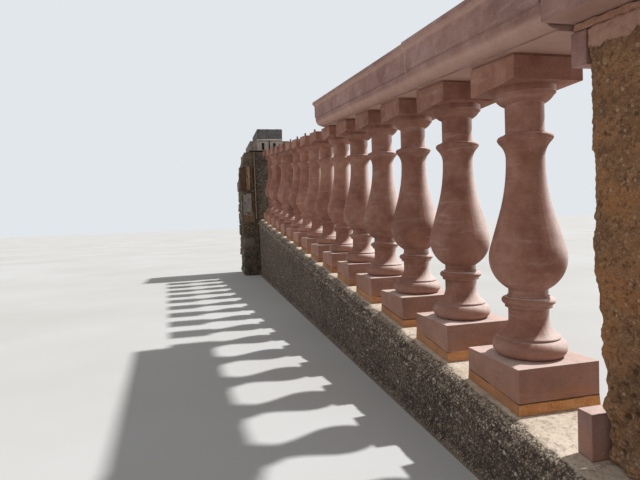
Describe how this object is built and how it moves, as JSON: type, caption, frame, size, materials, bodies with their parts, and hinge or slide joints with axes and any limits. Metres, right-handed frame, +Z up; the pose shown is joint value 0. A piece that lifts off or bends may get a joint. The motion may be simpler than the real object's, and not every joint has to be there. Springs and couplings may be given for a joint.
{
  "type": "stone balustrade",
  "caption": "Raking stone balustrade bay on a rough kerb: turned balusters, moulded coping over part of the row, a stripped pier and a rubble pier with a plain cap.",
  "frame": {"origin": "middle of the level foot, under the row's centre line", "axes": "+Z up, the street on the -Y side, the row climbs towards -X"},
  "size_m": [5.541, 0.686, 1.6064],
  "materials": {
    "kerb_concrete": "rough aggregate",
    "mortar": "trowelled",
    "cast_stone": "fine matte",
    "pale_joint": "pointed",
    "rubble_core": "broken and pitted",
    "rubble_shaft": "coursed rubble",
    "weathered_stone": "weathered",
    "steel_dowel": "dull"
  },
  "bodies": {
    "root": {"kerb": "kerb_concrete", "base_beds": "mortar", "baluster_01": "cast_stone", "baluster_02": "cast_stone", "baluster_03": "cast_stone", "baluster_04": "cast_stone", "baluster_05": "cast_stone", "baluster_06": "cast_stone", "baluster_07": "cast_stone", "baluster_08": "cast_stone", "baluster_09": "cast_stone", "baluster_10": "cast_stone", "baluster_11": "cast_stone", "baluster_12": "cast_stone", "baluster_13": "cast_stone", "baluster_14": "cast_stone", "baluster_15": "cast_stone", "dowels": "steel_dowel", "coping_beds": "mortar", "coping_lower": "cast_stone", "coping_upper": "cast_stone", "coping_joint_mortar": "pale_joint", "pier_lower_end_block": "cast_stone", "pier_upper_end_block": "cast_stone", "pier_core": "rubble_core", "pier_bed": "mortar", "pier_coping": "cast_stone", "far_pier_shaft": "rubble_shaft", "far_pier_band_street": "weathered_stone", "far_pier_band_back": "weathered_stone", "far_pier_cap_bed": "pale_joint", "far_pier_cap": "weathered_stone"}
  },
  "joints": []
}
